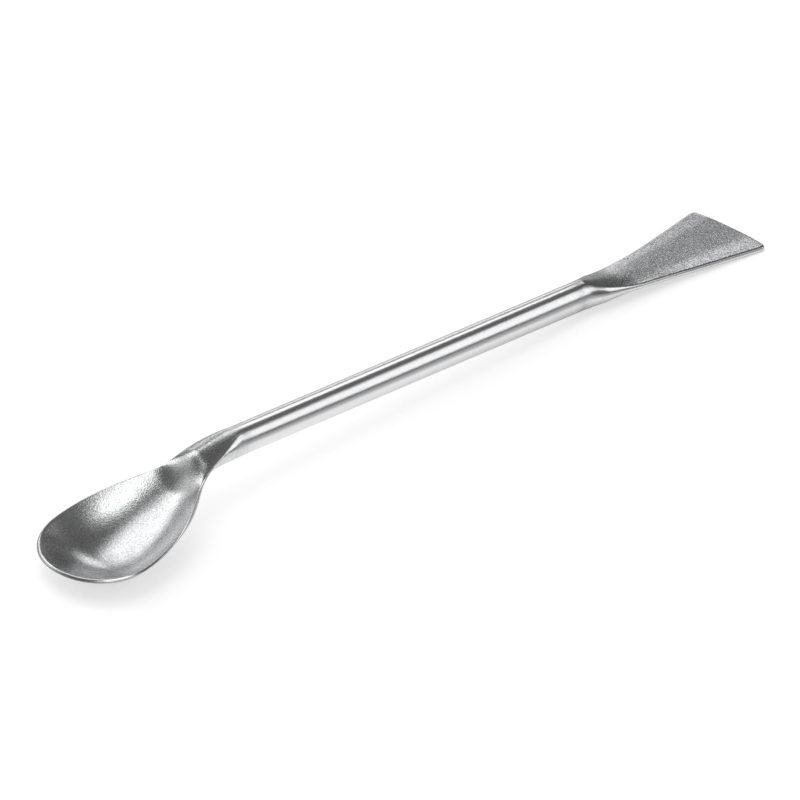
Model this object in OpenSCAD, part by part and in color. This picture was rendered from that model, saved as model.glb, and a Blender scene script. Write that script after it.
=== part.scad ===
// Lab spatula, one forged piece: a round bar with a deep egg-shaped spoon bowl
// at one end and a thin flared blade at the other.
// Measures are in millimetres. Each end is worked out along the bar's own axis,
// and the whole piece is then laid down as it comes to rest on a table: the
// bowl's belly and the blade's lower edge touch z = 0.

/* [Bar] */
// Diameter of the round bar, which stays as the handle
bar_diameter = 6; // [5.5:0.1:6.6]
// From the tip of the bowl to the edge of the blade, along the bar
overall_length = 176.5; // [165:0.5:190]
// Angle from the top of the bar at which the pressed faces break its surface
lip_angle = 34; // [30:1:40]

/* [Spoon bowl] */
// Greatest width of the bowl over its rim
bowl_width = 27.3; // [25:0.1:29]
// From the tip of the bowl to its widest place
widest_at = 11.6; // [10.5:0.1:13]
// How square the front of the bowl is, 2 being an ellipse
front_squareness = 2.1; // [2:0.05:2.4]
// Run over which the sides draw in from the widest place towards the neck
flank_run = 25.9; // [24.5:0.1:27]
// Depth of the bowl under its rim at the deepest place
bowl_depth = 6; // [5:0.1:6.6]
// From the tip of the bowl to its deepest place
deepest_at = 10.7; // [9.5:0.1:12]
// Slope of the bowl's inner face under the rim at the tip, in degrees
front_slope = 38; // [30:1:42]
// How flat the bottom of the bowl is across, 2 being a parabola
face_square = 2.5; // [2:0.05:2.7]
// Depth of the bowl under its rim at the shoulder
entry_depth = 2.5; // [2:0.1:3]
// Slope of the bowl's bottom at the shoulder, in degrees
entry_slope = 37; // [33:0.5:41]
// Wall at the bottom of the bowl
bowl_wall = 1.1; // [0.8:0.1:1.5]
// Wall under the bowl's entry at the shoulder
shoulder_wall = 1.1; // [0.9:0.1:1.5]
// Slope of the underside at the shoulder, in degrees
under_slope = 36; // [32:0.5:38]
// Height of the rim's outer edge at the tip
tip_edge = 0.7; // [0.5:0.05:0.8]
// Height of the rim's outer edge along the sides
rim_edge = 0.45; // [0.4:0.05:0.7]
// Height of the rim's outer edge where the sides come in to the neck
shoulder_edge = 1.3; // [0.9:0.05:1.5]
// Width of the flat land on top of the rim
rim_land = 0.4; // [0.25:0.05:0.5]
// How far the tip of the bowl lies below the bar's axis
tip_drop = 11.4; // [10.5:0.1:12.2]
// Slope of the rim at the tip, in degrees
tip_slope = 9.2; // [6:0.1:12]
// Slope of the rim where it runs into the neck, in degrees
shoulder_slope = 21.6; // [18:0.1:24]
// From the tip of the bowl to where its bottom has its full wall
wall_run = 6; // [4:0.5:8]

/* [Neck] */
// From the tip of the bowl to the shoulder, where the rim ends
shoulder_at = 29.4; // [28.5:0.1:30.5]
// From the tip of the bowl to the middle of the neck
neck_at = 36; // [35:0.1:37]
// From the tip of the bowl to where the bar is fully round
neck_end = 46; // [45:0.1:48]
// Height of the neck's edges above the bar's axis, at its middle
neck_level = 0.1; // [-0.2:0.05:0.4]
// Slope of the neck's edges at its middle, in degrees
neck_slope = 21.3; // [18:0.1:24]
// How far the middle of the neck stands over its edges
neck_crown = 1.6; // [1.2:0.05:1.9]
// Slope of the neck's crown at its middle, in degrees
crown_slope = 9.5; // [7:0.5:13]
// How round the crown is across, 2 being a parabola and 1 a plain roof
neck_square = 1.6; // [1.4:0.05:2]
// Thickness of the neck at its middle
neck_thickness = 5.65; // [5.2:0.05:6]
// Slope of the neck's underside at its middle, in degrees
belly_slope = 13.8; // [10:0.1:18]
// How fast each edge of the neck spreads towards the bowl, mm per mm
neck_flare = 0.245; // [0.2:0.005:0.28]
// Rounding where the neck's outline meets the bowl's
shoulder_blend = 0.65; // [0.3:0.05:1]

/* [Blade] */
// Width of the blade at its edge, corner to corner
blade_width = 21; // [18:0.1:23]
// From where the bar begins to spread to the blade's edge
blade_length = 41; // [38:0.5:46]
// Thickness of the blade where it leaves the bar
root_thickness = 0.95; // [0.9:0.05:1.4]
// Thickness of the blade at its edge
edge_thickness = 1; // [0.6:0.05:1.1]
// Width of the eased edge round the blade's faces
face_inset = 0.15; // [0.1:0.05:0.3]
// Radius of the blade's two corners
corner_radius = 1; // [0.5:0.1:2]
// Part of the blade's length over which its outline curves away from the bar
spread_share = 0.22; // [0.15:0.01:0.3]
// How far the sides swell where the bar is pressed flat
root_swell = 0.9; // [0.5:0.05:1.1]
// Part of the blade's length over which the swelling comes
swell_share = 0.12; // [0.1:0.01:0.2]
// Part of the blade's length at which the swelling is gone again
swell_end = 0.57; // [0.5:0.01:0.65]
// Part of the blade's length over which its edges drop from the bar
edge_drop_share = 0.31; // [0.26:0.01:0.36]
// Part of the blade's length over which its faces lose the bar's crown
middle_share = 0.5; // [0.3:0.05:0.8]
// Part of the blade's length over which it bends up to its own slope
bend_share = 0.56; // [0.4:0.01:0.7]
// Height of the blade's middle plane above the bar's axis, at its edge
edge_level = 0.2; // [0:0.05:0.4]
// Upward slope of the blade at its edge, in degrees
edge_slope = 2.3; // [1.5:0.1:3]
// Radius to which the blade is bowed along its length
bow_radius = 770; // [500:10:1200]

/* [Output] */
// Sub-part to draw, or all of them

/* [Hidden] */
bar_radius = bar_diameter / 2;
lip_half = bar_radius * sin(lip_angle);
lip_height = bar_radius * cos(lip_angle);
blade_start = overall_length - blade_length;
// points across the top, down each side and round the belly of a section
across = 16;
down = 5;
under = 20;
// sections along the bowl's front, its back, the neck and the blade
front_steps = 14;
back_steps = 10;
neck_steps = 18;
blade_steps = 32;
corner_steps = 4;
// the blade's sections lie closer together near the bar, 1 being evenly spaced
root_crowding = 1.25;
// the forged ends run this far into the round bar, a hair under its size
lap = 1.5;
lap_gap = 0.02;
// the neck's section is a spoon's from this far before its middle
spoon_lead = 2;
// the neck's edges start to spread this far before its round end, and their
// spread has its full size this far before the shoulder
flare_lead = 0.75;
flare_over = 3;
// the outlines of bowl and neck blend from here to here before the shoulder
blend_lead = 9.4;
blend_run = 6;
// the rim's outer edge is highest this far before the shoulder, over this run
peak_lead = 1.6;
peak_run = 5;
// the bowl's sections end and the neck's closer ones begin this far before it
steps_lead = 1.4;
// how square the drop of the blade's edges is, 1 being a plain ease
drop_power = 0.47;
// smallest half width of a lip, and the step over which slopes are measured
hair = 0.001;
// share of its half width over which a pressed face is rounded in the middle
face_round = 0.15;

// 0 before 0, 1 after 1, level at both ends
function ease(t) = let (u = max(0, min(1, t))) u * u * (3 - 2 * u);

// smooth run between two stations with a height and a slope at each
function run(x, x0, x1, y0, y1, m0, m1) =
    let (h = x1 - x0, t = max(0, min(1, (x - x0) / h)), u = 1 - t)
    y0 * u * u * (1 + 2 * t) + y1 * t * t * (3 - 2 * t)
    + h * t * u * (m0 * u - m1 * t);

function lows(list) = [for (k = [0:2]) min([for (p = list) p[k]])];
function highs(list) = [for (k = [0:2]) max([for (p = list) p[k]])];

// ---- bowl and neck, x from the tip of the bowl ----

// 0 on the round bar, 1 where the section is that of a spoon
function spooned(x) = ease((neck_end - x) / (neck_end - neck_at + spoon_lead));

// how far the lip stands in from the outer edge
function lip_inset(x) =
    (bar_radius - lip_half) * (1 - spooned(x)) + rim_land * spooned(x);

// half width of the bowl alone
function bowl_half(x) = bowl_width / 2 *
    (x < widest_at
        ? pow(1 - pow((widest_at - x) / widest_at, front_squareness), 1 / front_squareness)
        : 1 - pow((x - widest_at) / flank_run, 2));

// half width of the neck alone
function neck_half(x) =
    lip_half + lip_inset(x)
    + neck_flare * max(0, neck_end - flare_lead - max(x, shoulder_at - flare_over));

// half width of the whole end, the bowl and the neck blended at the shoulder
function end_half(x) =
    let (b = bowl_half(x), n = neck_half(x),
         r = shoulder_blend * ease((x - shoulder_at + blend_lead) / blend_run) * spooned(x))
    x < widest_at ? b
    : x > neck_end ? bar_radius
    : (b + n + sqrt(pow(b - n, 2) + r * r)) / 2;

// height of the lip: the bowl's rim, then the neck's edge, then the bar's side
function rim_height(x) =
    let (a = tan(tip_slope), b = tan(shoulder_slope))
    -tip_drop + a * x + (b - a) / (2 * shoulder_at) * x * x;

function lip_z(x) =
    x < shoulder_at ? rim_height(x)
    : x < neck_at
        ? run(x, shoulder_at, neck_at, rim_height(shoulder_at), neck_level,
              tan(shoulder_slope), tan(neck_slope))
        : run(x, neck_at, neck_end, neck_level, lip_height, tan(neck_slope), 0);

// a value at the tip, one at the widest place and one at the neck, with smooth
// runs between them
function between(x, tip, bowl, neck) =
    x < widest_at
        ? tip + (bowl - tip) * ease(x / widest_at)
        : bowl + (neck - bowl) * ease((x - widest_at) / (neck_at - widest_at));

// height of the upper face on the middle line
entry_floor = rim_height(shoulder_at) - entry_depth;
crest = neck_level + neck_crown;
function middle_z(x) =
    x < deepest_at
        ? lip_z(x) + run(x, 0, deepest_at, 0, -bowl_depth, -tan(front_slope), 0)
    : x < shoulder_at
        ? run(x, deepest_at, shoulder_at, lip_z(deepest_at) - bowl_depth, entry_floor,
              rim_fall(deepest_at), tan(entry_slope))
    : x < neck_at
        ? run(x, shoulder_at, neck_at, entry_floor, crest, tan(entry_slope), tan(crown_slope))
        : run(x, neck_at, neck_end, crest, bar_radius, tan(crown_slope), 0);

function rim_fall(x) =
    let (a = tan(tip_slope), b = tan(shoulder_slope)) a + (b - a) / shoulder_at * x;

// height of the underside on the middle line
entry_foot = entry_floor - shoulder_wall;
neck_foot = crest - neck_thickness;
function belly_z(x) =
    x < deepest_at
        ? middle_z(x) - tip_edge - (bowl_wall - tip_edge) * ease(x / wall_run)
    : x < shoulder_at
        ? run(x, deepest_at, shoulder_at, middle_z(deepest_at) - bowl_wall, entry_foot,
              rim_fall(deepest_at), tan(under_slope))
    : x < neck_at
        ? run(x, shoulder_at, neck_at, entry_foot, neck_foot, tan(under_slope), tan(belly_slope))
        : run(x, neck_at, neck_end, neck_foot, -bar_radius, tan(belly_slope), 0);

// height of the rim's outer edge, high at the tip and highest at the shoulder
function side_drop(x) =
    rim_edge + (tip_edge - rim_edge) * (1 - ease(x / widest_at))
    + (shoulder_edge - rim_edge) * exp(-pow((x - shoulder_at + peak_lead) / peak_run, 2));

function side_z(x) = (lip_z(x) - side_drop(x)) * spooned(x);

// one side of a section from the lip down to its widest point
function side_points(x, lip, half, top, edge, y) =
    [for (i = [1:down])
        let (a = lip_angle + (90 - lip_angle) * i / down,
             f = (sin(a) - sin(lip_angle)) / (1 - sin(lip_angle)))
        [x + (lip[0] - x) * (1 - f), y * (lip[1] + (half - lip[1]) * f),
         top + (edge - top) * (1 - cos(a) / cos(lip_angle))]];

// the upper face of a section from one lip to the other: the bar's own arc, or
// as much as share says of a pressed form of that power
function top_points(x, half, lip, middle, share = 0, power = 2) =
    let (r = pow(face_round, 2), r_end = pow(1 + r, power / 2), r_start = pow(r, power / 2))
    [for (i = [0:across])
        let (a = lip_angle * (2 * i / across - 1), t = sin(a) / sin(lip_angle),
             arc = (cos(a) - cos(lip_angle)) / (1 - cos(lip_angle)),
             pressed = 1 - (pow(t * t + r, power / 2) - r_start) / (r_end - r_start))
        [x, half * t, lip + (middle - lip) * (arc * (1 - share) + pressed * share)]];

function flip(list) = [for (i = [len(list) - 1:-1:0]) list[i]];

// a whole section of the spoon end; the lip stands in square to the outline
function spoon_section(x) =
    let (w = end_half(x), a = max(x - hair, 0), b = x + hair,
         turn = spooned(x) * (end_half(b) - end_half(a)) / (b - a),
         n = 1 / sqrt(1 + turn * turn), inset = lip_inset(x),
         lip = [x + inset * turn * n, max(w - inset * n, hair)],
         top = lip_z(lip[0]), edge = side_z(x), s = spooned(x), foot = belly_z(x))
    concat(
        top_points(lip[0], lip[1], top, middle_z(lip[0]), s,
                   between(lip[0], 2, face_square, neck_square)),
        side_points(x, lip, w, top, edge, 1),
        [for (i = [1:under - 1])
            let (t = 180 * i / under)
            [x, w * cos(t), edge + (foot - edge) * ((1 - s) * sin(t) + s * pow(sin(t), 2))]],
        flip(side_points(x, lip, w, top, edge, -1)));

// the tip of the bowl, where a section shrinks to its rim edge
function spoon_tip() =
    let (top = lip_z(rim_land), edge = lip_z(0) - tip_edge)
    concat(
        [for (i = [0:across]) [rim_land, 0, top]],
        side_points(0, [rim_land, 0], 0, top, edge, 1),
        [for (i = [1:under - 1]) [0, 0, edge]],
        flip(side_points(0, [rim_land, 0], 0, top, edge, 1)));

// ---- blade, q from 0 at the bar to 1 at the blade's edge ----

// the outline draws away from the bar in a short curve and then runs straight
function blade_spread(q) =
    let (c = spread_share) (q < c ? q * q : 2 * c * q - c * c) / (2 * c - c * c);

// the pressed bar swells beside the root and the swelling then dies away
function blade_swell(q) =
    root_swell * ease(q / swell_share) * (1 - ease((q - swell_share) / (swell_end - swell_share)));

function blade_half(x) =
    let (q = (x - blade_start) / blade_length,
         c = max(0, x - overall_length + corner_radius))
    bar_radius + (blade_width / 2 - bar_radius) * blade_spread(q) + blade_swell(q)
    - corner_radius + sqrt(max(0, pow(corner_radius, 2) - c * c));

// how far the blade's middle plane leaves the bar's axis
function blade_rise(x) =
    let (back = overall_length - x)
    ease((x - blade_start) / (bend_share * blade_length))
    * (edge_level - tan(edge_slope) * back + back * back / (2 * bow_radius));

function blade_section(x) =
    let (q = (x - blade_start) / blade_length,
         t = (root_thickness + (edge_thickness - root_thickness) * q) / 2,
         s = pow(ease(q / edge_drop_share), drop_power), m = ease(q / middle_share),
         w = blade_half(x), lip = w - (bar_radius - lip_half) * (1 - s) - face_inset * s,
         top = lip_height * (1 - s) + t * s, middle = top + (bar_radius - lip_height) * (1 - m),
         face = top_points(x, lip, top, middle),
         side = [for (i = [1:2 * down - 1])
             let (a = lip_angle + (180 - 2 * lip_angle) * i / (2 * down),
                  f = (sin(a) - sin(lip_angle)) / (1 - sin(lip_angle)))
             [x, lip + (w - lip) * f, top * cos(a) / cos(lip_angle)]],
         ring = concat(face, side,
             [for (p = flip(face)) [p[0], p[1], -p[2]]],
             [for (p = flip(side)) [p[0], -p[1], p[2]]]))
    [for (p = ring) p + [0, 0, blade_rise(x)]];

// ---- meshes ----

// a section's points drawn in a little, for the end that sits inside the bar
function drawn_in(ring, x, gap) =
    [for (p = ring) [x, p[1] * (1 - gap / bar_radius), p[2] * (1 - gap / bar_radius)]];

neck_steps_at = shoulder_at - steps_lead;
spoon_stations = concat(
    [for (i = [1:front_steps]) widest_at * (1 - cos(90 * i / front_steps))],
    [for (i = [1:back_steps]) widest_at + (neck_steps_at - widest_at) * i / back_steps],
    [for (i = [1:neck_steps]) neck_steps_at + (neck_end - neck_steps_at) * i / neck_steps]);

spoon_rings = let (last = spoon_section(neck_end))
    concat([spoon_tip()], [for (x = spoon_stations) if (x < neck_end - hair) spoon_section(x)],
           [drawn_in(last, neck_end, lap_gap), drawn_in(last, neck_end + lap, 2 * lap_gap)]);

blade_stations = concat(
    [for (i = [1:blade_steps])
        blade_start + (blade_length - corner_radius) * pow(i / blade_steps, root_crowding)],
    [for (i = [1:corner_steps])
        overall_length - corner_radius * (1 - sin(90 * i / corner_steps))]);

blade_rings = let (first = blade_section(blade_start))
    concat([drawn_in(first, blade_start - lap, 2 * lap_gap), drawn_in(first, blade_start, lap_gap)],
           [for (x = blade_stations) blade_section(x)]);

// ---- lying down ----

// the piece tips until a line from the blade's lower edge just meets the bowl
toe = let (p = blade_section(overall_length)[across + 2 * down]) [p[0], p[2]];
rest_tilt = max([for (x = spoon_stations) atan2(toe[1] - belly_z(x), toe[0] - x)]);

function laid(p) =
    [p[0] * cos(rest_tilt) + p[2] * sin(rest_tilt), p[1],
     p[2] * cos(rest_tilt) - p[0] * sin(rest_tilt)];

laid_tips = [for (ring = concat(spoon_rings, blade_rings)) for (p = ring) laid(p)];
lowest = lows(laid_tips);
highest = highs(laid_tips);
to_rest = [-(lowest[0] + highest[0]) / 2, 0, -lowest[2]];

// a closed skin over a list of sections; a flat end is closed by bands that
// start from point number lid_from, and the bowl's tip by its own rim edge
module skin(rings, lid_from, tipped) {
    n = len(rings[0]);
    last = len(rings) - 1;
    side = across + down;
    function at(k, j) =
        let (i = j % n)
        !tipped || k > 0 ? k * n + i
        : i <= across ? 0
        : i <= side ? i
        : i < side + under ? side
        : n + across - i;
    function strip(a, b, c, d) = [[a, b, c], [b, d, c]];
    function lid(k, from) =
        [for (i = [0:n / 2 - 1])
            let (a = at(k, from + i), b = at(k, from + i + 1),
                 c = at(k, from + n - i), d = at(k, from + n - i - 1))
            each k == 0 ? strip(b, a, d, c) : strip(a, b, c, d)];
    walls = [for (k = [0:last - 1]) for (j = [0:n - 1])
        each strip(at(k, j), at(k, j + 1), at(k + 1, j), at(k + 1, j + 1))];
    polyhedron(
        points = [for (ring = rings) for (p = ring) p],
        faces = [for (f = concat(walls, lid(last, lid_from), tipped ? [] : lid(0, lid_from)))
            if (f[0] != f[1] && f[1] != f[2] && f[2] != f[0]) f],
        convexity = 4);
}

// ---- the part ----

module spatula() {
    color([0.72, 0.73, 0.74])
        translate(to_rest)
        rotate([0, rest_tilt, 0])
        union() {
            translate([neck_end, 0, 0]) rotate([0, 90, 0])
                cylinder(h = blade_start - neck_end, r = bar_radius, $fn = 96);
            skin(spoon_rings, across / 2, true);
            skin(blade_rings, 2 * across + 3 * down, false);
        }
}

spatula();
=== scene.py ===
import bmesh
import bpy
import math
from mathutils import Matrix, Vector
from types import SimpleNamespace


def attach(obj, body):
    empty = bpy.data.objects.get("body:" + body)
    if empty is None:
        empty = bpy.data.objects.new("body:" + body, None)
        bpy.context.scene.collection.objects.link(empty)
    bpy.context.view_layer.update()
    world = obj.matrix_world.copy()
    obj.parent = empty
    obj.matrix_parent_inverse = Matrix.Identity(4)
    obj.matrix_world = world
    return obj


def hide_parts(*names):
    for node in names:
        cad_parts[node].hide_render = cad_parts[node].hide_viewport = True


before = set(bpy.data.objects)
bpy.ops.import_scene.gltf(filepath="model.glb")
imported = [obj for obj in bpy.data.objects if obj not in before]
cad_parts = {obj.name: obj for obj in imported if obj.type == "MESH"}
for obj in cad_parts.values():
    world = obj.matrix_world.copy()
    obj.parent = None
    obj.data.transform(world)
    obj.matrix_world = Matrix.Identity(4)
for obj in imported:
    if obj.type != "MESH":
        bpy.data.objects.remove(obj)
bpy.context.view_layer.update()
print("frame loaded:", ", ".join(sorted(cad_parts)))

# the spatula is worked out along its bar, in millimetres and degrees
spatula = {
    "barDiameter": 6.0,
    "length": 176.5,  # tip of the bowl to the edge of the blade
    "lipAngle": 34.0,  # from the top of the bar to where the pressed faces break out
    "bowlWidth": 27.3,
    "widestAt": 11.6,  # every place "At" is counted from the bowl's tip
    "squareness": 2.1,  # of the bowl's front, 2 is an ellipse
    "flankRun": 25.9,  # from the widest place to where the bowl alone would close
    "bowlDepth": 6.0,
    "deepestAt": 13.0,  # the underside follows the inner face, so this moves both
    "frontSlope": 26.0,  # of the inner face under the rim at the tip
    "entryDepth": 2.5,  # of the bowl at the shoulder
    "entrySlope": 37.0,
    "tipSquare": 1.6,  # how full the face is across the bowl's tip, 2 is a parabola
    "faceSquare": 2.5,  # the same at its fullest
    "squareAt": 19.0,  # where it is fullest
    "neckSquare": 1.6,
    "faceRound": 0.15,  # takes the point off the face's middle line
    "bowlWall": 1.1,
    "shoulderWall": 1.1,
    "underSlope": 36.0,  # of the underside at the shoulder
    "wallRun": 6.0,
    "rimEdge": 0.45,
    "tipEdge": 0.7,
    "shoulderEdge": 1.3,
    "peakLead": 1.6,  # of the edge's deepest place before the shoulder
    "peakRun": 5.0,
    "rimLand": 0.4,
    "tipDrop": 11.4,  # of the rim at the tip, under the bar's middle
    "tipSlope": 9.2,
    "shoulderSlope": 21.6,
    "shoulderAt": 29.4,
    "neckAt": 36.0,
    "neckEnd": 46.0,
    "neckLevel": 0.1,
    "neckSlope": 21.3,
    "neckCrown": 1.6,  # how far its middle stands over its edges
    "crownSlope": 9.5,
    "crestAt": 35.6,  # where the neck's step ends
    "neckThickness": 5.65,
    "bellySlope": 13.8,
    "neckFlare": 0.245,  # how fast its sides spread towards the bowl
    "flareLead": 0.75,
    "flareOver": 3.0,
    "spoonLead": 2.0,
    "shoulderBlend": 0.65,  # rounds the corner between the neck's sides and the bowl's
    "blendLead": 9.4,
    "blendRun": 6.0,
    "bladeWidth": 21.0,
    "bladeLength": 41.0,
    "rootThickness": 0.95,  # of the blade at its edges, its raised middle comes on top
    "edgeThickness": 1.0,
    "faceInset": 0.15,
    "cornerRadius": 1.0,
    "spreadShare": 0.22,  # every "Share" along the blade is a share of its length
    "swell": 0.9,  # of the sides beside the blade's root
    "swellShare": 0.12,
    "swellEndShare": 0.57,
    "rootLead": 0.022,  # where the pressed faces start to go down
    "edgeDropShare": 0.31,
    "dropPower": 0.53,
    "middleShare": 0.5,
    "bendShare": 0.56,
    "edgeLevel": 0.2,  # of the blade's end over the bar's middle
    "edgeSlope": 2.3,
    "bladeCrown": 0.15,  # of the upper face over its edges
    "edgeFall": 0.11,  # how far it stands over its worn margins, and over what width
    "fallRun": 0.4,
    "marginFall": 0.24,  # the same for the broad soft margins, growing towards the blade's end
    "marginShare": 0.55,  # of the half width
    "bowRadius": 770.0,  # of the blade's slight bow along its length
    "lipRound": 0.14,  # how far the worn edges are rounded back
    "rimWorn": 0.6,  # share of the rim's side that is worn bright
    "topSteps": 30,  # faces from the middle of a section to its lip
    "sideSteps": 18,
    "roundSteps": 4,
    "frontSteps": 56,  # sections along the bowl's front, its back, the neck, bar and blade
    "backSteps": 44,
    "neckSteps": 60,
    "barSteps": 36,
    "bladeSteps": 90,
    "bladeCrowding": 1.15,  # over 1 draws the blade's sections together at its root
    "cornerSteps": 14,
    "solveSteps": 40,
    "restSteps": 8,
    "tipJoin": 2e-7,  # m, points nearer than this at the bowl's tip become one
    "flatWeight": 50,  # how much the large faces decide how a corner is shaded
    "flatLead": 2.0,  # how far that reaches onto the bar
}
sp = SimpleNamespace(**spatula)
barRadius = sp.barDiameter / 2
sinLip = math.sin(math.radians(sp.lipAngle))
cosLip = math.cos(math.radians(sp.lipAngle))
lipHalf = barRadius * sinLip
bladeStart = sp.length - sp.bladeLength
hair = 0.001  # mm, as good as nothing


def tanDeg(angle):
    return math.tan(math.radians(angle))


def ease(t):
    t = min(1.0, max(0.0, t))
    return t * t * (3 - 2 * t)


def run(x, x0, x1, y0, y1, m0, m1):  # smooth run with a height and a slope at each end
    h = x1 - x0
    t = min(1.0, max(0.0, (x - x0) / h))
    u = 1 - t
    return y0 * u * u * (1 + 2 * t) + y1 * t * t * (3 - 2 * t) + h * t * u * (m0 * u - m1 * t)


def spooned(x):  # 0 on the round bar, 1 where the section is a spoon's
    return ease((sp.neckEnd - x) / (sp.neckEnd - sp.neckAt + sp.spoonLead))


def lipInset(x):
    s = spooned(x)
    return (barRadius - lipHalf) * (1 - s) + sp.rimLand * s


def endHalf(x):  # half width of the bowl and the neck together
    if x < sp.widestAt:
        away = min(1.0, (sp.widestAt - x) / sp.widestAt)
        return sp.bowlWidth / 2 * (1 - away ** sp.squareness) ** (1 / sp.squareness)
    if x > sp.neckEnd:
        return barRadius
    bowl = sp.bowlWidth / 2 * (1 - ((x - sp.widestAt) / sp.flankRun) ** 2)
    spread = sp.neckEnd - sp.flareLead - max(x, sp.shoulderAt - sp.flareOver)
    neck = lipHalf + lipInset(x) + sp.neckFlare * max(0.0, spread)
    r = sp.shoulderBlend * ease((x - sp.shoulderAt + sp.blendLead) / sp.blendRun) * spooned(x)
    return (bowl + neck + math.hypot(bowl - neck, r)) / 2


def inward(x):  # the outline's inward normal at a station
    a = max(x - hair, 0.0)
    b = x + hair
    turn = spooned(x) * (endHalf(b) - endHalf(a)) / (b - a)
    n = 1 / math.hypot(1, turn)
    return turn * n, -n


def rimHeight(x):
    a = tanDeg(sp.tipSlope)
    return -sp.tipDrop + a * x + (tanDeg(sp.shoulderSlope) - a) / (2 * sp.shoulderAt) * x * x


def rimFall(x):
    a = tanDeg(sp.tipSlope)
    return a + (tanDeg(sp.shoulderSlope) - a) / sp.shoulderAt * x


def lipLevel(x):
    if x < sp.shoulderAt:
        return rimHeight(x)
    if x < sp.neckAt:
        return run(x, sp.shoulderAt, sp.neckAt, rimHeight(sp.shoulderAt), sp.neckLevel,
                   tanDeg(sp.shoulderSlope), tanDeg(sp.neckSlope))
    return run(x, sp.neckAt, sp.neckEnd, sp.neckLevel, barRadius * cosLip, tanDeg(sp.neckSlope), 0)


def entryLevel():
    return rimHeight(sp.shoulderAt) - sp.entryDepth


def floorLevel(x):  # the upper face on the middle line
    crest = sp.neckLevel + sp.neckCrown - (sp.neckAt - sp.crestAt) * tanDeg(sp.crownSlope)
    if x < sp.deepestAt:
        return lipLevel(x) + run(x, 0, sp.deepestAt, 0, -sp.bowlDepth, -tanDeg(sp.frontSlope), 0)
    if x < sp.shoulderAt:
        return run(x, sp.deepestAt, sp.shoulderAt, lipLevel(sp.deepestAt) - sp.bowlDepth,
                   entryLevel(), rimFall(sp.deepestAt), tanDeg(sp.entrySlope))
    if x < sp.crestAt:
        return run(x, sp.shoulderAt, sp.crestAt, entryLevel(), crest,
                   tanDeg(sp.entrySlope), tanDeg(sp.crownSlope))
    return run(x, sp.crestAt, sp.neckEnd, crest, barRadius, tanDeg(sp.crownSlope), 0)


def bellyLevel(x):  # the underside on the middle line
    foot = sp.neckLevel + sp.neckCrown - sp.neckThickness
    under = entryLevel() - sp.shoulderWall
    if x < sp.deepestAt:
        return floorLevel(x) - sp.tipEdge - (sp.bowlWall - sp.tipEdge) * ease(x / sp.wallRun)
    if x < sp.shoulderAt:
        return run(x, sp.deepestAt, sp.shoulderAt, floorLevel(sp.deepestAt) - sp.bowlWall, under,
                   rimFall(sp.deepestAt), tanDeg(sp.underSlope))
    if x < sp.neckAt:
        return run(x, sp.shoulderAt, sp.neckAt, under, foot,
                   tanDeg(sp.underSlope), tanDeg(sp.bellySlope))
    return run(x, sp.neckAt, sp.neckEnd, foot, -barRadius, tanDeg(sp.bellySlope), 0)


def rimDrop(x):  # height of the rim's outer edge, tallest at the tip
    return sp.rimEdge + (sp.tipEdge - sp.rimEdge) * (1 - ease(x / sp.widestAt))


def edgeLevel(x):  # the widest line of a section
    peak = math.exp(-((x - sp.shoulderAt + sp.peakLead) / sp.peakRun) ** 2)
    return (lipLevel(x) - rimDrop(x) - (sp.shoulderEdge - sp.rimEdge) * peak) * spooned(x)


def solve(f, goal, low, high):  # where a rising function reaches a goal
    for _ in range(sp.solveSteps):
        middle = (low + high) / 2
        if f(middle) < goal:
            low = middle
        else:
            high = middle
    return (low + high) / 2


def lipHalfAt(x):  # half width between the lips, which stand in square to the outline
    station = solve(lambda s: s + lipInset(s) * inward(s)[0], x, 0.0, x)
    return max(endHalf(station) + lipInset(station) * inward(station)[1], hair)


# height of a pressed face across a section: a round bar's arc, or a bowl's curve as share grows
def crown(half, lip, middle, y, share=0.0, power=2.0):
    t = min(1.0, y / half)
    r = sp.faceRound ** 2
    arc = (math.sqrt(1 - (t * sinLip) ** 2) - cosLip) / (1 - cosLip)
    low, high = r ** (power / 2), (1 + r) ** (power / 2)
    press = 1 - ((t * t + r) ** (power / 2) - low) / (high - low)
    return lip + (middle - lip) * (arc * (1 - share) + press * share)


def topAt(x, y, half=None):
    power = sp.tipSquare + (sp.faceSquare - sp.tipSquare) * ease(x / sp.squareAt)
    past = (x - sp.squareAt) / (sp.neckAt - sp.squareAt)
    power += (sp.neckSquare - sp.faceSquare) * ease(past)
    return crown(half or lipHalfAt(x), lipLevel(x), floorLevel(x), y, spooned(x), power)


def bellyAt(x, y):
    s = spooned(x)
    edge = edgeLevel(x)
    t = min(1.0, abs(y) / max(endHalf(x), hair))
    form = (1 - s) * math.sqrt(1 - t * t) + s * (1 - t * t)
    return edge + (bellyLevel(x) - edge) * form


def soften(a, corner, b):  # a rounded corner, without its two ends
    points = []
    for i in range(1, sp.roundSteps):
        t = i / sp.roundSteps
        points.append(a * (1 - t) ** 2 + corner * (2 * t * (1 - t)) + b * t * t)
    return points


def mirrored(half):  # a closed ring from its right half, middle top to middle bottom
    return half + [Vector((p.x, -p.y, p.z)) for p in half[-2:0:-1]]


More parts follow.
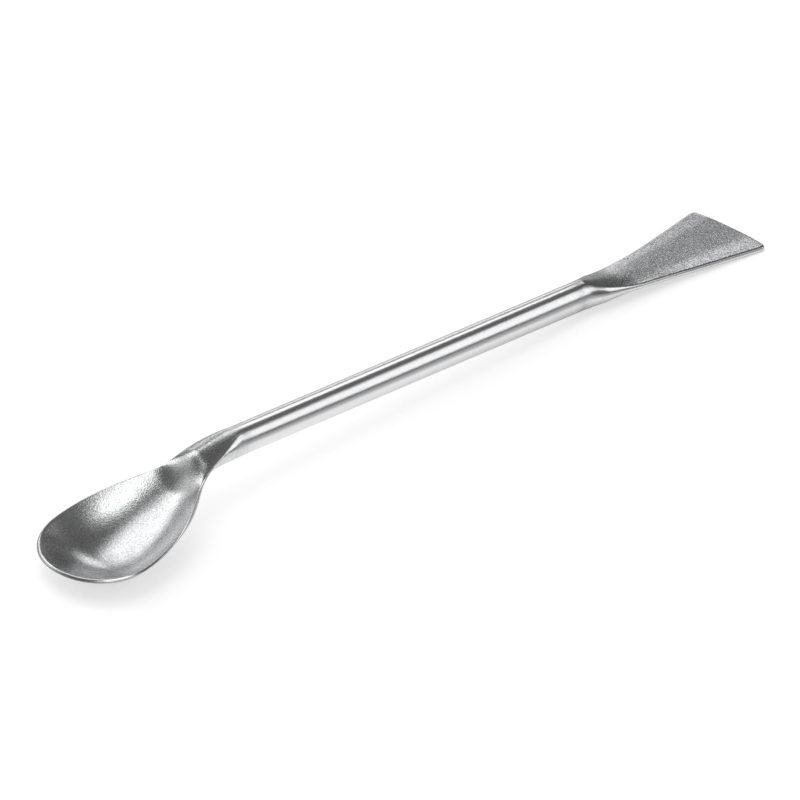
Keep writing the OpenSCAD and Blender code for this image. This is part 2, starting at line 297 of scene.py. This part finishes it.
def spoonRing(x):
    w = endHalf(x)
    nx, ny = inward(x)
    inset = lipInset(x)
    lipX = x + inset * nx
    top = lipLevel(lipX)
    edge = edgeLevel(x)

    def land(angle):
        s = math.sin(math.radians(angle))
        back = inset * (1 - s) / (1 - sinLip)
        z = top + (edge - top) * (1 - math.cos(math.radians(angle)) / cosLip)
        return Vector((x + back * nx, max(0.0, w + back * ny), z))

    def face(back):
        px = x + back * nx
        py = max(0.0, w + back * ny)
        return Vector((px, py, topAt(px, py)))

    def under(back):
        px = x + back * nx
        py = max(0.0, w + back * ny)
        return Vector((px, py, bellyAt(px, py)))

    lip = land(sp.lipAngle)
    outer = land(90)
    reach = sp.lipRound
    a = face(solve(lambda back: (face(back) - lip).length, reach, inset, inset + 2 * reach))
    fromAngle = solve(lambda t: (land(t) - lip).length, reach, sp.lipAngle, 89)
    toAngle = solve(lambda t: -(land(t) - outer).length, -reach, fromAngle, 90)
    b = under(solve(lambda back: (under(back) - outer).length, reach, 0, 2 * reach))

    half = []
    aHalf = lipHalfAt(a.x)
    aEnd = math.asin(min(1.0, a.y * sinLip / aHalf))
    for i in range(sp.topSteps):
        y = aHalf * math.sin(aEnd * i / sp.topSteps) / sinLip
        half.append(Vector((a.x, y, topAt(a.x, y, aHalf))))
    half.append(a)
    half += soften(a, lip, land(fromAngle))
    span = toAngle - fromAngle
    half += [land(fromAngle + span * i / sp.sideSteps) for i in range(sp.sideSteps + 1)]
    half += soften(land(toAngle), outer, b)
    half.append(b)
    bHalf = endHalf(b.x)
    bStart = math.acos(min(1.0, b.y / max(bHalf, hair)))
    for i in range(1, sp.topSteps + 1):
        y = bHalf * math.cos(bStart + (math.pi / 2 - bStart) * i / sp.topSteps)
        half.append(Vector((b.x, y, bellyAt(b.x, y))))
    return mirrored(half)


def bladeRing(x):
    q = (x - bladeStart) / sp.bladeLength
    cut = max(0.0, x - sp.length + sp.lipRound)  # the end's own rounded edge
    worn = sp.lipRound - math.sqrt(max(0.0, sp.lipRound ** 2 - cut * cut))
    thin = (sp.rootThickness + (sp.edgeThickness - sp.rootThickness) * q) / 2
    s = ease((q - sp.rootLead) / (sp.edgeDropShare - sp.rootLead)) ** sp.dropPower
    m = ease(q / sp.middleShare)
    c = sp.spreadShare
    spread = (q * q if q < c else 2 * c * q - c * c) / (2 * c - c * c)
    past = max(0.0, x - sp.length + sp.cornerRadius)
    cutBack = sp.cornerRadius - math.sqrt(max(0.0, sp.cornerRadius ** 2 - past * past))
    swell = sp.swell * ease(q / sp.swellShare) * (
        1 - ease((q - sp.swellShare) / (sp.swellEndShare - sp.swellShare)))
    w = barRadius + (sp.bladeWidth / 2 - barRadius) * spread + swell - cutBack - worn
    lip = w - (barRadius - lipHalf) * (1 - s) - sp.faceInset * s
    top = barRadius * cosLip * (1 - s) + thin * s - worn
    middle = top + barRadius * (1 - cosLip) * (1 - m)
    back = sp.length - x
    rise = ease(q / sp.bendShare) * (
        sp.edgeLevel - tanDeg(sp.edgeSlope) * back + back * back / (2 * sp.bowRadius))

    def face(y, raised=0.0):
        inside = lip - y
        margin = sp.edgeFall * ease(inside / sp.fallRun) * raised
        margin += sp.marginFall * ease(inside / (lip * sp.marginShare)) * raised * ease(q)
        return Vector((x, y, crown(lip, top, middle + sp.bladeCrown * raised, y) + margin))

    def side(angle):
        f = (math.sin(math.radians(angle)) - sinLip) / (1 - sinLip)
        return Vector((x, lip + (w - lip) * f, top * math.cos(math.radians(angle)) / cosLip))

    edge = side(sp.lipAngle)
    reach = sp.lipRound
    yEnd = solve(lambda y: -(face(y) - edge).length, -reach, lip - 2 * reach, lip)
    aEnd = math.asin(yEnd * sinLip / lip)
    fromAngle = solve(lambda t: (side(t) - edge).length, reach, sp.lipAngle, 88)
    across = [lip * math.sin(aEnd * i / sp.topSteps) / sinLip for i in range(sp.topSteps + 1)]
    upper = [face(y, m) for y in across]
    under = [face(y) for y in across]
    corner = soften(under[-1], edge, side(fromAngle))
    span = 180 - 2 * fromAngle
    half = upper + corner
    half += [side(fromAngle + span * i / sp.sideSteps) for i in range(sp.sideSteps + 1)]
    # a spoon's ring has two rounded corners on each side, and so does this one
    half += [Vector((p.x, p.y, -p.z)) for p in reversed(under + corner)]
    return [p + Vector((0, 0, rise)) for p in mirrored(half)]


def barRings(first, last):  # turns one ring's spacing gently into the other's
    rings = []
    for k in range(1, sp.barSteps):
        t = k / sp.barSteps
        x = first[0].x * (1 - t) + last[0].x * t
        ring = []
        for a, b in zip(first, last):
            u = math.atan2(a.y, a.z)
            v = math.atan2(b.y, b.z)
            if abs(u - v) > math.pi:
                v = u
            angle = u + (v - u) * ease(t)
            ring.append(Vector((x, barRadius * math.sin(angle), barRadius * math.cos(angle))))
        rings.append(ring)
    return rings


def evenly(start, end, count):  # evenly placed stations, without the last
    return [start + (end - start) * i / count for i in range(count)]


def spatulaRings():
    quarter = math.pi / 2
    stations = [sp.widestAt * (1 - math.cos(quarter * i / sp.frontSteps))
                for i in range(sp.frontSteps)]
    stations += evenly(sp.widestAt, sp.shoulderAt, sp.backSteps)
    stations += evenly(sp.shoulderAt, sp.neckEnd, sp.neckSteps) + [sp.neckEnd]
    spoon = [spoonRing(x) for x in stations]
    flat = sp.bladeLength - sp.cornerRadius
    stations = [bladeStart + flat * (i / sp.bladeSteps) ** sp.bladeCrowding
                for i in range(sp.bladeSteps)]
    stations += [sp.length - sp.cornerRadius * (1 - math.sin(quarter * i / sp.cornerSteps))
                 for i in range(sp.cornerSteps + 1)]
    blade = [bladeRing(x) for x in stations]
    return spoon + barRings(spoon[-1], blade[0]) + blade


def restOnTable(points):  # tips and moves the points until bowl and blade lie on z = 0
    tilt = 0.0
    for _ in range(sp.restSteps):
        c, s = math.cos(tilt), math.sin(tilt)
        bowl = min((p.z * c - p.x * s, p.x) for p in points if p.x < sp.shoulderAt)
        blade = min((p.z * c - p.x * s, p.x) for p in points if p.x > bladeStart)
        tilt += (blade[0] - bowl[0]) / (blade[1] - bowl[1])
    points = [Matrix.Rotation(tilt, 3, "Y") @ p for p in points]
    middle = (min(p.x for p in points) + max(p.x for p in points)) / 2
    shift = Vector((-middle, 0, -min(p.z for p in points)))
    return [(p + shift) / 1000 for p in points], tilt


def wornEdges(along, count):  # 1 on the rim and on the blade's sides and end
    worn = []
    for i, x in enumerate(along):
        place = min(i % count, count - i % count) - sp.topSteps
        last = sp.sideSteps * (sp.rimWorn if x < bladeStart else 1) + sp.roundSteps
        onEnd = x > sp.length - sp.lipRound - hair
        worn.append(1.0 if 0 <= place <= last or onEnd else 0.0)
    return worn


def makeSpatula():
    rings = spatulaRings()
    count = len(rings[0])
    points = [p for ring in rings for p in ring]
    along = [p.x for p in points]
    laid, tilt = restOnTable(points)
    faces = []
    for k in range(len(rings) - 1):
        for j in range(count):
            a, b = k * count + j, k * count + (j + 1) % count
            faces.append((a, b, b + count, a + count))
    faces.append([(len(rings) - 1) * count + j for j in range(count)])
    mesh = bpy.data.meshes.new("spatulaSkin")
    mesh.from_pydata(laid, [], faces)
    for name, values in (("alongBar", along), ("wornEdge", wornEdges(along, count))):
        mesh.attributes.new(name, "FLOAT", "POINT").data.foreach_set("value", values)
    work = bmesh.new()
    work.from_mesh(mesh)
    bmesh.ops.remove_doubles(work, verts=work.verts, dist=sp.tipJoin)  # closes the bowl's tip
    bmesh.ops.recalc_face_normals(work, faces=work.faces)
    work.to_mesh(mesh)
    work.free()
    mesh.shade_smooth()
    piece = bpy.data.objects.new("spatulaSkin", mesh)
    bpy.context.scene.collection.objects.link(piece)
    ends = piece.vertex_groups.new(name="ends")
    places = mesh.attributes["alongBar"].data
    low, high = sp.neckEnd - sp.flatLead, bladeStart + sp.flatLead
    pressed = [v.index for v in mesh.vertices if not low < places[v.index].value < high]
    ends.add(pressed, 1.0, "REPLACE")
    weigh = piece.modifiers.new("weigh", "WEIGHTED_NORMAL")  # flat faces keep flat shading
    weigh.mode = "FACE_AREA"
    weigh.weight = sp.flatWeight
    weigh.vertex_group = "ends"
    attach(piece, "root")
    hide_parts("spatula")
    degrees = round(math.degrees(tilt), 3)
    print("spatula made:", len(mesh.vertices), "points, lying at", degrees, "degrees")
    return piece


class Wire:  # a socket in a node tree that can be used in sums
    def __init__(self, tree, socket=None):
        self.tree = tree
        self.socket = socket

    def put(self, kind, settings=None, values=None, out=0):
        node = self.tree.nodes.new(kind)
        for name, value in (settings or {}).items():
            setattr(node, name, value)
        for name, value in (values or {}).items():
            if isinstance(value, Wire):
                self.tree.links.new(value.socket, node.inputs[name])
            else:
                node.inputs[name].default_value = value
        return Wire(self.tree, node.outputs[out] if node.outputs else None)

    def output(self, name):  # another output of the same node
        return Wire(self.tree, self.socket.node.outputs[name])

    def maths(self, operation, *values):
        return self.put("ShaderNodeMath", {"operation": operation}, dict(enumerate(values)))

    def __add__(self, other):
        return self.maths("ADD", self, other)

    def __radd__(self, other):
        return self.maths("ADD", other, self)

    def __sub__(self, other):
        return self.maths("SUBTRACT", self, other)

    def __rsub__(self, other):
        return self.maths("SUBTRACT", other, self)

    def __mul__(self, other):
        return self.maths("MULTIPLY", self, other)

    def __rmul__(self, other):
        return self.maths("MULTIPLY", other, self)

    def ramp(self, low, high):  # smooth step from 0 at low to 1 at high
        return self.put("ShaderNodeMapRange", {"interpolation_type": "SMOOTHSTEP"},
                        {"Value": self, "From Min": low, "From Max": high})

    def noise(self, place, scale, detail=2.0, rough=0.5, out="Fac"):
        return self.put("ShaderNodeTexNoise", None,
                        {"Vector": place, "Scale": scale, "Detail": detail,
                         "Roughness": rough}, out)

    def mixColor(self, fac, a, b):
        # the node's color sockets are its numbers 6 and 7, and its color output is 2
        return self.put("ShaderNodeMix", {"data_type": "RGBA"}, {0: fac, 6: a, 7: b}, 2)


def newMaterial(name):
    made = bpy.data.materials.new(name)
    made.use_nodes = True
    made.node_tree.nodes.clear()
    return made, Wire(made.node_tree)


def gray(value):
    return (value, value, value, 1)


steel = {
    "drawn": (0.8, 0.8, 0.81, 1),
    "blasted": (0.76, 0.765, 0.77, 1),
    "flattened": (0.74, 0.745, 0.755, 1),  # on the blade
    "dull": (0.18, 0.185, 0.195, 1),  # in the pits of the blasted grain
    "bowlDull": 0.36,  # how much of them shows in the bowl, on the blade and on the bar
    "bladeDull": 0.58,
    "barDull": 0.2,
    "blastedRoughness": 0.25,
    "flatRoughness": 0.21,  # on the blade
    "drawnRoughness": 0.22,
    "grain": 0.3,  # mm across one pit of the blasted grain
    "grainDepth": 0.042,  # mm
    "barGrain": 0.45,  # share of that depth on the bar
    "drawLine": 0.1,  # mm across one draw line on the bar
    "drawLength": 9.0,  # mm along it
    "drawDepth": 0.003,  # mm
    "pitDetail": 0.6,
    "fineSize": 0.45,  # of the grain's small marks, and of its broad waves, in pits
    "waveSize": 7,
    "fineShare": 0.3,  # of the small marks in the grain's depth
    "pitFrom": 0.35,  # over this a pit starts to look dull, and here it is fully so
    "pitTo": 0.65,
    "waveFrom": 0.3,
    "waveTo": 0.7,
    "waveDull": 0.12,
    "fineRough": 0.14,  # how far small marks, waves and draw lines change the roughness
    "waveRough": 0.06,
    "lineRough": 0.12,
    "barLead": 3.0,  # mm, how gently the blasted ends pass into the drawn bar
    "bladeLead": 4.0,
    "bladeOver": 1.0,
}


def makeSteel():
    st = SimpleNamespace(**steel)
    made, g = newMaterial("blastedSteel")
    place = g.put("ShaderNodeTexCoord", out="Object")
    along = g.put("ShaderNodeAttribute", {"attribute_name": "alongBar"}, out="Fac")
    blade = along.ramp(bladeStart - st.bladeLead, bladeStart + st.bladeOver)
    bar = along.ramp(sp.neckEnd - st.barLead, sp.neckEnd + st.barLead) * (1 - blade)
    worn = g.put("ShaderNodeAttribute", {"attribute_name": "wornEdge"}, out="Fac") * (1 - bar)
    smooth = g.maths("MAXIMUM", bar, worn)

    perMm = 1000.0  # the object is in metres
    pits = g.noise(place, perMm / st.grain, 2.0, st.pitDetail)
    fine = g.noise(place, perMm / (st.grain * st.fineSize), 1.0)
    waves = g.noise(place, perMm / (st.grain * st.waveSize))
    stretch = g.put("ShaderNodeVectorMath", {"operation": "MULTIPLY"},
                    {0: place, 1: (perMm / st.drawLength, perMm / st.drawLine,
                                   perMm / st.drawLine)})
    lines = g.noise(stretch, 1.0, 2.0, st.pitDetail)

    grainHeight = (pits * (1 - st.fineShare) + fine * st.fineShare) * (st.grainDepth / perMm)
    lineHeight = lines * bar * (st.drawDepth / perMm)
    height = grainHeight * (1 - smooth * (1 - st.barGrain)) + lineHeight
    bump = g.put("ShaderNodeBump", None, {"Height": height, "Strength": 1.0, "Distance": 1.0})

    plain = st.blastedRoughness + (st.flatRoughness - st.blastedRoughness) * blade
    grainRough = plain + (fine - 0.5) * st.fineRough + (waves - 0.5) * st.waveRough
    drawnRough = st.drawnRoughness + (lines - 0.5) * st.lineRough
    rough = grainRough * (1 - smooth) + drawnRough * smooth
    ends = g.mixColor(blade, st.blasted, st.flattened)
    bright = g.mixColor(smooth, ends, st.drawn)
    # the grain's pits and broad waves are drawn darker, most on the blade, less in the bowl, least
    # on the bar and worn edges
    pitDarkShare = st.bowlDull + (st.bladeDull - st.bowlDull) * blade
    pitDarkening = pits.ramp(st.pitFrom, st.pitTo) * pitDarkShare
    pitDarkening += waves.ramp(st.waveFrom, st.waveTo) * st.waveDull
    pitDarkening *= 1 - smooth * (1 - st.barDull)
    color = g.mixColor(pitDarkening, bright, st.dull)
    shader = g.put("ShaderNodeBsdfPrincipled", None, {
        "Base Color": color, "Metallic": 1.0, "Roughness": rough, "Normal": bump})
    g.put("ShaderNodeOutputMaterial", None, {"Surface": shader})
    return made


floor = {
    "size": 7.0,  # m
    "albedo": 0.5,
    "lift": 0.62,  # what the floor gives off by itself to be white
    "steepFacing": 0.45,  # where the painted low-angle shade of its glow starts to take over, and where it has done so
    "flatFacing": 0.8,
    "underReach": 0.008,  # m, how far the painted shadow reaches, that mirrored rays find on the floor round the spatula
}


def makeFloor():
    fl = SimpleNamespace(**floor)
    mesh = bpy.data.meshes.new("studioFloor")
    h = fl.size / 2
    mesh.from_pydata([(-h, -h, 0), (h, -h, 0), (h, h, 0), (-h, h, 0)], [], [(0, 1, 2, 3)])
    made, g = newMaterial("paleFloor")
    path = g.put("ShaderNodeLightPath")
    # painted shade: the plate's glow, as metal mirrors it, turns darker at a low angle, and a
    # painted shadow darkens it close under the spatula
    facing = g.put("ShaderNodeLayerWeight", None, {"Blend": 0.5}, "Facing")
    paintedLowAngleFade = 1 - facing.ramp(fl.steepFacing, fl.flatFacing)
    # clear is a painted shadow: occlusion darkens the floor's glow close under the spatula, in
    # mirrored rays only
    clear = g.put("ShaderNodeAmbientOcclusion", {"samples": 8}, {"Distance": fl.underReach}, "AO")
    rays = g.maths("MAXIMUM", path.output("Is Glossy Ray"), path.output("Is Transmission Ray"))
    seen = g.maths("MAXIMUM", path.output("Is Camera Ray"), rays * paintedLowAngleFade * clear)
    diffuse = g.put("ShaderNodeBsdfDiffuse", None, {"Color": gray(fl.albedo)})
    glow = g.put("ShaderNodeEmission", None, {"Color": seen * fl.lift, "Strength": 1.0})
    both = g.put("ShaderNodeAddShader", None, {0: diffuse, 1: glow})
    g.put("ShaderNodeOutputMaterial", None, {"Surface": both})
    obj = bpy.data.objects.new("studioFloor", mesh)
    obj.data.materials.append(made)
    bpy.context.scene.collection.objects.link(obj)
    return obj


studio = {
    "reach": 0.7,  # m from the spatula to the lamps
    "dim": 0.12,  # what the room beyond the lamps gives off
    "backdrop": 0.97,  # how white it stands behind the spatula
    "lamps": [  # name, azimuth and elevation, width and height in m, radiance
        ("frontBox", -38.0, 27.5, 0.50, 0.41, 1.15),
        ("sideBox", 43.5, 40.0, 0.36, 0.22, 1.6),
        ("backBox", 99.0, 48.0, 0.49, 0.48, 1.5),
        ("backCard", 117.0, 22.0, 0.46, 0.38, 0.65),
        ("farCard", 58.0, 11.0, 0.46, 0.14, 1.5),
        ("highBox", -146.0, 61.0, 0.38, 0.22, 2.6),
        ("nearCard", -135.0, 30.0, 0.80, 0.38, 1.0),
    ],
    "fill": 2.0,  # radiance of the overhead lamp that only matt surfaces see
    "fillSize": 0.5,  # m
}


def direction(azimuth, elevation):  # azimuth from +X towards +Y
    a, e = math.radians(azimuth), math.radians(elevation)
    return Vector((math.cos(a) * math.cos(e), math.sin(a) * math.cos(e), math.sin(e)))


def addLamp(name, azimuth, elevation, width, height, radiance):
    lamp = bpy.data.lights.new(name, "AREA")
    lamp.shape = "RECTANGLE"
    lamp.size = width
    lamp.size_y = height
    lamp.energy = radiance * math.pi * width * height
    obj = bpy.data.objects.new(name, lamp)
    back = direction(azimuth, elevation)
    obj.location = back * studio["reach"]
    obj.rotation_euler = back.to_track_quat("Z", "Y").to_euler()
    obj.visible_camera = False
    bpy.context.scene.collection.objects.link(obj)
    return obj


def makeStudio():
    world = bpy.data.worlds.new("studioRoom")
    bpy.context.scene.world = world
    world.use_nodes = True
    world.node_tree.nodes.clear()
    g = Wire(world.node_tree)
    seen = g.put("ShaderNodeLightPath", out="Is Camera Ray")
    glow = seen * (studio["backdrop"] - studio["dim"]) + studio["dim"]
    shader = g.put("ShaderNodeBackground", None, {"Color": glow, "Strength": 1.0})
    g.put("ShaderNodeOutputWorld", None, {"Surface": shader})
    for lamp in studio["lamps"]:
        addLamp(*lamp)
    size = studio["fillSize"]
    fill = addLamp("fillBox", 0, 90, size, size, studio["fill"])
    fill.visible_glossy = False
    print("studio lit with", len(studio["lamps"]) + 1, "lamps")


view = {
    "azimuth": -130.558,  # degrees, where the camera stands as seen from the spatula
    "elevation": 31.121,
    "roll": -4.583,
    "distance": 2345.4,  # mm
    "aim": (-2.42, -2.49, 4.51),  # mm
    "lens": 547.94,  # mm
    "sensor": 36.0,  # mm wide
    "farEnd": 20.0,  # m, how far it sees
}


def makeCamera():
    vw = SimpleNamespace(**view)
    data = bpy.data.cameras.new("camera")
    data.sensor_width = vw.sensor
    data.lens = vw.lens
    data.clip_end = vw.farEnd
    obj = bpy.data.objects.new("camera", data)
    bpy.context.scene.collection.objects.link(obj)
    back = direction(vw.azimuth, vw.elevation)
    roll = Matrix.Rotation(math.radians(vw.roll), 3, back)
    turn = roll @ back.to_track_quat("Z", "Y").to_matrix()
    place = (Vector(vw.aim) + back * vw.distance) / 1000
    obj.matrix_world = Matrix.Translation(place) @ turn.to_4x4()
    bpy.context.scene.camera = obj
    print("camera at", [round(v, 3) for v in obj.matrix_world.translation])


piece = makeSpatula()
piece.data.materials.append(makeSteel())
makeFloor()
makeStudio()
makeCamera()
bpy.context.scene.view_settings.view_transform = "Standard"

bpy.context.view_layer.update()
